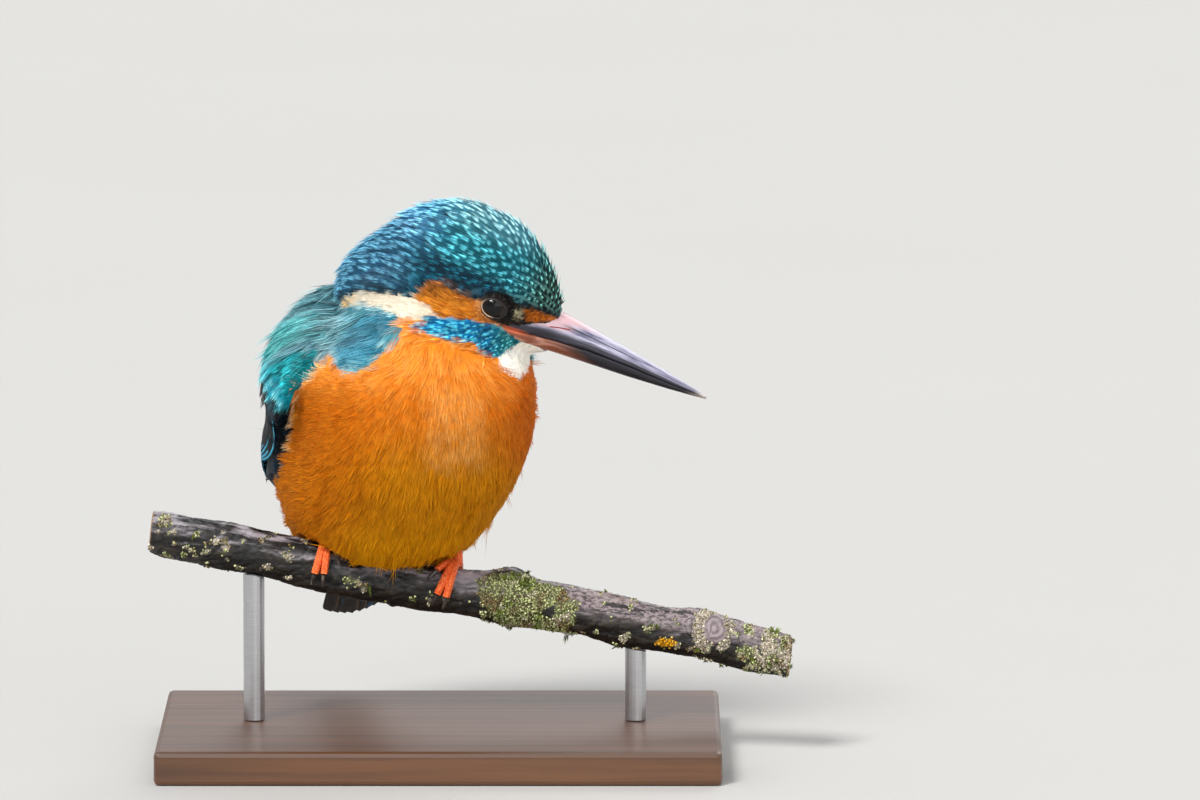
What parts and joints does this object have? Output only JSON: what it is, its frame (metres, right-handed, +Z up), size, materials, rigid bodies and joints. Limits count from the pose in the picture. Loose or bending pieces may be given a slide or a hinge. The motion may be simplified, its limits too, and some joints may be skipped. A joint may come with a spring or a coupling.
{
  "type": "common kingfisher",
  "caption": "Life-size common kingfisher perched on a short cut branch, body half towards the viewer and head in profile, held over a flat base by short rods.",
  "frame": {"origin": "centre of the underside of the stand's base", "axes": "+Z up, +X level along the branch on the side the bill points to, -Y the side the breast faces"},
  "size_m": [0.1516, 0.1013, 0.133],
  "materials": {
    "breast_feathers": "soft, hair-like orange feathers",
    "crown_feathers": "dark feathers with bright blue tips, satin",
    "neck_feathers": "cream white feathers, matt",
    "wing_feathers": "blue-green feathers, satin",
    "tail_feathers": "dark blue feathers, satin",
    "eye": "wet, very dark brown",
    "bill_horn": "satin black horn",
    "bill_under": "satin black horn, red-brown at the base",
    "foot_skin": "scaly orange-red skin",
    "claw_horn": "satin dark horn",
    "bark": "rough dark bark with lichen",
    "stand_wood": "plain dark stain, satin",
    "stand_steel": "brushed"
  },
  "bodies": {
    "root": {"trunk": "breast_feathers", "head": "crown_feathers", "neck": "neck_feathers", "wing_right": "wing_feathers", "wing_left": "wing_feathers", "tail": "tail_feathers", "eye_right": "eye", "eye_left": "eye", "bill_upper": "bill_horn", "bill_lower": "bill_under", "leg_right": "foot_skin", "leg_left": "foot_skin", "perch": "bark", "stand_base": "stand_wood", "stand_rod_1": "stand_steel", "stand_rod_2": "stand_steel", "claw_right_middle": "claw_horn", "claw_right_outer": "claw_horn", "claw_right_inner": "claw_horn", "claw_right_back": "claw_horn", "claw_left_middle": "claw_horn", "claw_left_outer": "claw_horn", "claw_left_inner": "claw_horn", "claw_left_back": "claw_horn"}
  },
  "joints": []
}
